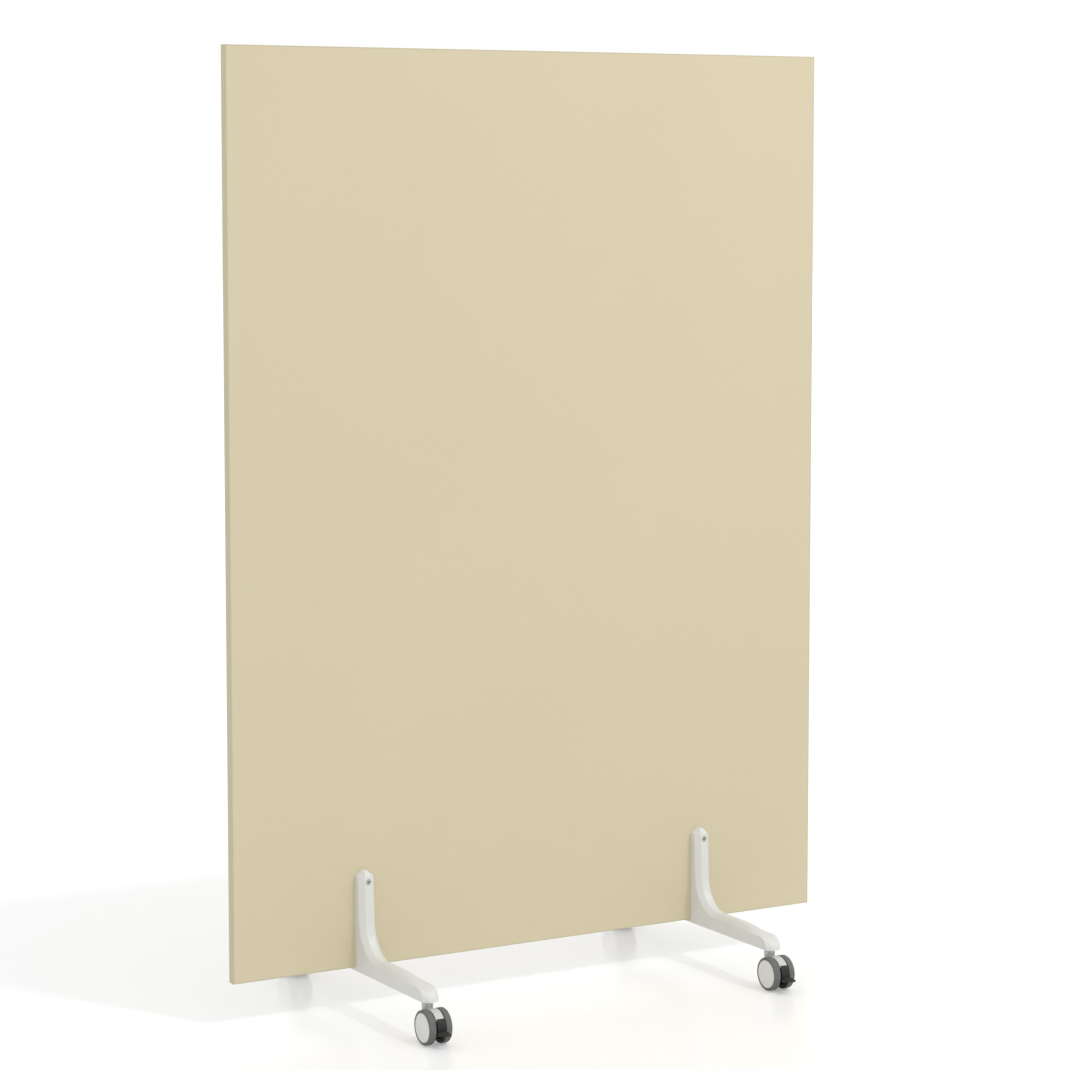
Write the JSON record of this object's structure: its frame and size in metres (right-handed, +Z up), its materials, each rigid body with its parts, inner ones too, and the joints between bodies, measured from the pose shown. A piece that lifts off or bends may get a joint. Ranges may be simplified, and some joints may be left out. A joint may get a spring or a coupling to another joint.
{
  "type": "rolling partition",
  "caption": "Free-standing rolling partition with an upright laminated board, cast inverted-T feet and braked swivel casters.",
  "frame": {"origin": "on the floor, under the middle of the board", "axes": "+X along the board to the right as seen from the front, -Y out of the board's front face, +Z up"},
  "size_m": [1.2, 0.6384, 1.676],
  "materials": {
    "laminate": "matte",
    "edge_band": "matte",
    "core": "matte",
    "foot_paint": "satin",
    "bolt_steel": "satin",
    "plated_steel": "satin",
    "spring_steel": "satin",
    "nylon": "satin",
    "caster_plastic": "satin",
    "hub_plastic": "satin",
    "tyre_rubber": "matte",
    "pedal_plastic": "satin"
  },
  "bodies": {
    "frame": {"board_core": "core", "front_laminate": "laminate", "rear_laminate": "laminate", "top_edge_band": "edge_band", "bottom_edge_band": "edge_band", "left_edge_band": "edge_band", "right_edge_band": "edge_band", "left_foot": "foot_paint", "right_foot": "foot_paint", "through_screws": "bolt_steel", "sleeve_nuts": "bolt_steel", "front_left_stem": "plated_steel", "front_left_thrust_washer": "nylon", "front_left_swivel_clip": "spring_steel", "front_right_stem": "plated_steel", "front_right_thrust_washer": "nylon", "front_right_swivel_clip": "spring_steel", "rear_left_stem": "plated_steel", "rear_left_thrust_washer": "nylon", "rear_left_swivel_clip": "spring_steel", "rear_right_stem": "plated_steel", "rear_right_thrust_washer": "nylon", "rear_right_swivel_clip": "spring_steel"},
    "front_left_caster": {"front_left_housing": "caster_plastic", "front_left_axle": "plated_steel", "front_left_pedal_pin": "plated_steel"},
    "front_left_left_wheel": {"front_left_left_hub": "hub_plastic", "front_left_left_tyre": "tyre_rubber"},
    "front_left_right_wheel": {"front_left_right_hub": "hub_plastic", "front_left_right_tyre": "tyre_rubber"},
    "front_left_pedal": {"front_left_brake_pedal": "pedal_plastic"},
    "front_right_caster": {"front_right_housing": "caster_plastic", "front_right_axle": "plated_steel", "front_right_pedal_pin": "plated_steel"},
    "front_right_left_wheel": {"front_right_left_hub": "hub_plastic", "front_right_left_tyre": "tyre_rubber"},
    "front_right_right_wheel": {"front_right_right_hub": "hub_plastic", "front_right_right_tyre": "tyre_rubber"},
    "front_right_pedal": {"front_right_brake_pedal": "pedal_plastic"},
    "rear_left_caster": {"rear_left_housing": "caster_plastic", "rear_left_axle": "plated_steel", "rear_left_pedal_pin": "plated_steel"},
    "rear_left_left_wheel": {"rear_left_left_hub": "hub_plastic", "rear_left_left_tyre": "tyre_rubber"},
    "rear_left_right_wheel": {"rear_left_right_hub": "hub_plastic", "rear_left_right_tyre": "tyre_rubber"},
    "rear_left_pedal": {"rear_left_brake_pedal": "pedal_plastic"},
    "rear_right_caster": {"rear_right_housing": "caster_plastic", "rear_right_axle": "plated_steel", "rear_right_pedal_pin": "plated_steel"},
    "rear_right_left_wheel": {"rear_right_left_hub": "hub_plastic", "rear_right_left_tyre": "tyre_rubber"},
    "rear_right_right_wheel": {"rear_right_right_hub": "hub_plastic", "rear_right_right_tyre": "tyre_rubber"},
    "rear_right_pedal": {"rear_right_brake_pedal": "pedal_plastic"}
  },
  "joints": [
    {"name": "front_left_swivel", "type": "hinge", "parent": "frame", "child": "front_left_caster", "pos_m": [-0.35, -0.245, 0.045], "axis": [0, 0, 1], "continuous": true},
    {"name": "front_left_left_wheel_spin", "type": "hinge", "parent": "front_left_caster", "child": "front_left_left_wheel", "pos_m": [-0.365, -0.2657, 0.03], "axis": [1, 0, 0], "continuous": true},
    {"name": "front_left_right_wheel_spin", "type": "hinge", "parent": "front_left_caster", "child": "front_left_right_wheel", "pos_m": [-0.335, -0.2657, 0.03], "axis": [1, 0, 0], "continuous": true},
    {"name": "front_left_brake", "type": "hinge", "parent": "front_left_caster", "child": "front_left_pedal", "pos_m": [-0.35, -0.2827, 0.032], "axis": [1, 0, 0], "range_deg": [0, 12]},
    {"name": "front_right_swivel", "type": "hinge", "parent": "frame", "child": "front_right_caster", "pos_m": [0.35, -0.245, 0.045], "axis": [0, 0, 1], "continuous": true},
    {"name": "front_right_left_wheel_spin", "type": "hinge", "parent": "front_right_caster", "child": "front_right_left_wheel", "pos_m": [0.335, -0.2657, 0.03], "axis": [1, 0, 0], "continuous": true},
    {"name": "front_right_right_wheel_spin", "type": "hinge", "parent": "front_right_caster", "child": "front_right_right_wheel", "pos_m": [0.365, -0.2657, 0.03], "axis": [1, 0, 0], "continuous": true},
    {"name": "front_right_brake", "type": "hinge", "parent": "front_right_caster", "child": "front_right_pedal", "pos_m": [0.35, -0.2827, 0.032], "axis": [1, 0, 0], "range_deg": [0, 12]},
    {"name": "rear_left_swivel", "type": "hinge", "parent": "frame", "child": "rear_left_caster", "pos_m": [-0.35, 0.245, 0.045], "axis": [0, 0, 1], "continuous": true},
    {"name": "rear_left_left_wheel_spin", "type": "hinge", "parent": "rear_left_caster", "child": "rear_left_left_wheel", "pos_m": [-0.365, 0.2657, 0.03], "axis": [1, 0, 0], "continuous": true},
    {"name": "rear_left_right_wheel_spin", "type": "hinge", "parent": "rear_left_caster", "child": "rear_left_right_wheel", "pos_m": [-0.335, 0.2657, 0.03], "axis": [1, 0, 0], "continuous": true},
    {"name": "rear_left_brake", "type": "hinge", "parent": "rear_left_caster", "child": "rear_left_pedal", "pos_m": [-0.35, 0.2827, 0.032], "axis": [-1, 0, 0], "range_deg": [0, 12]},
    {"name": "rear_right_swivel", "type": "hinge", "parent": "frame", "child": "rear_right_caster", "pos_m": [0.35, 0.245, 0.045], "axis": [0, 0, 1], "continuous": true},
    {"name": "rear_right_left_wheel_spin", "type": "hinge", "parent": "rear_right_caster", "child": "rear_right_left_wheel", "pos_m": [0.335, 0.2657, 0.03], "axis": [1, 0, 0], "continuous": true},
    {"name": "rear_right_right_wheel_spin", "type": "hinge", "parent": "rear_right_caster", "child": "rear_right_right_wheel", "pos_m": [0.365, 0.2657, 0.03], "axis": [1, 0, 0], "continuous": true},
    {"name": "rear_right_brake", "type": "hinge", "parent": "rear_right_caster", "child": "rear_right_pedal", "pos_m": [0.35, 0.2827, 0.032], "axis": [-1, 0, 0], "range_deg": [0, 12]}
  ]
}
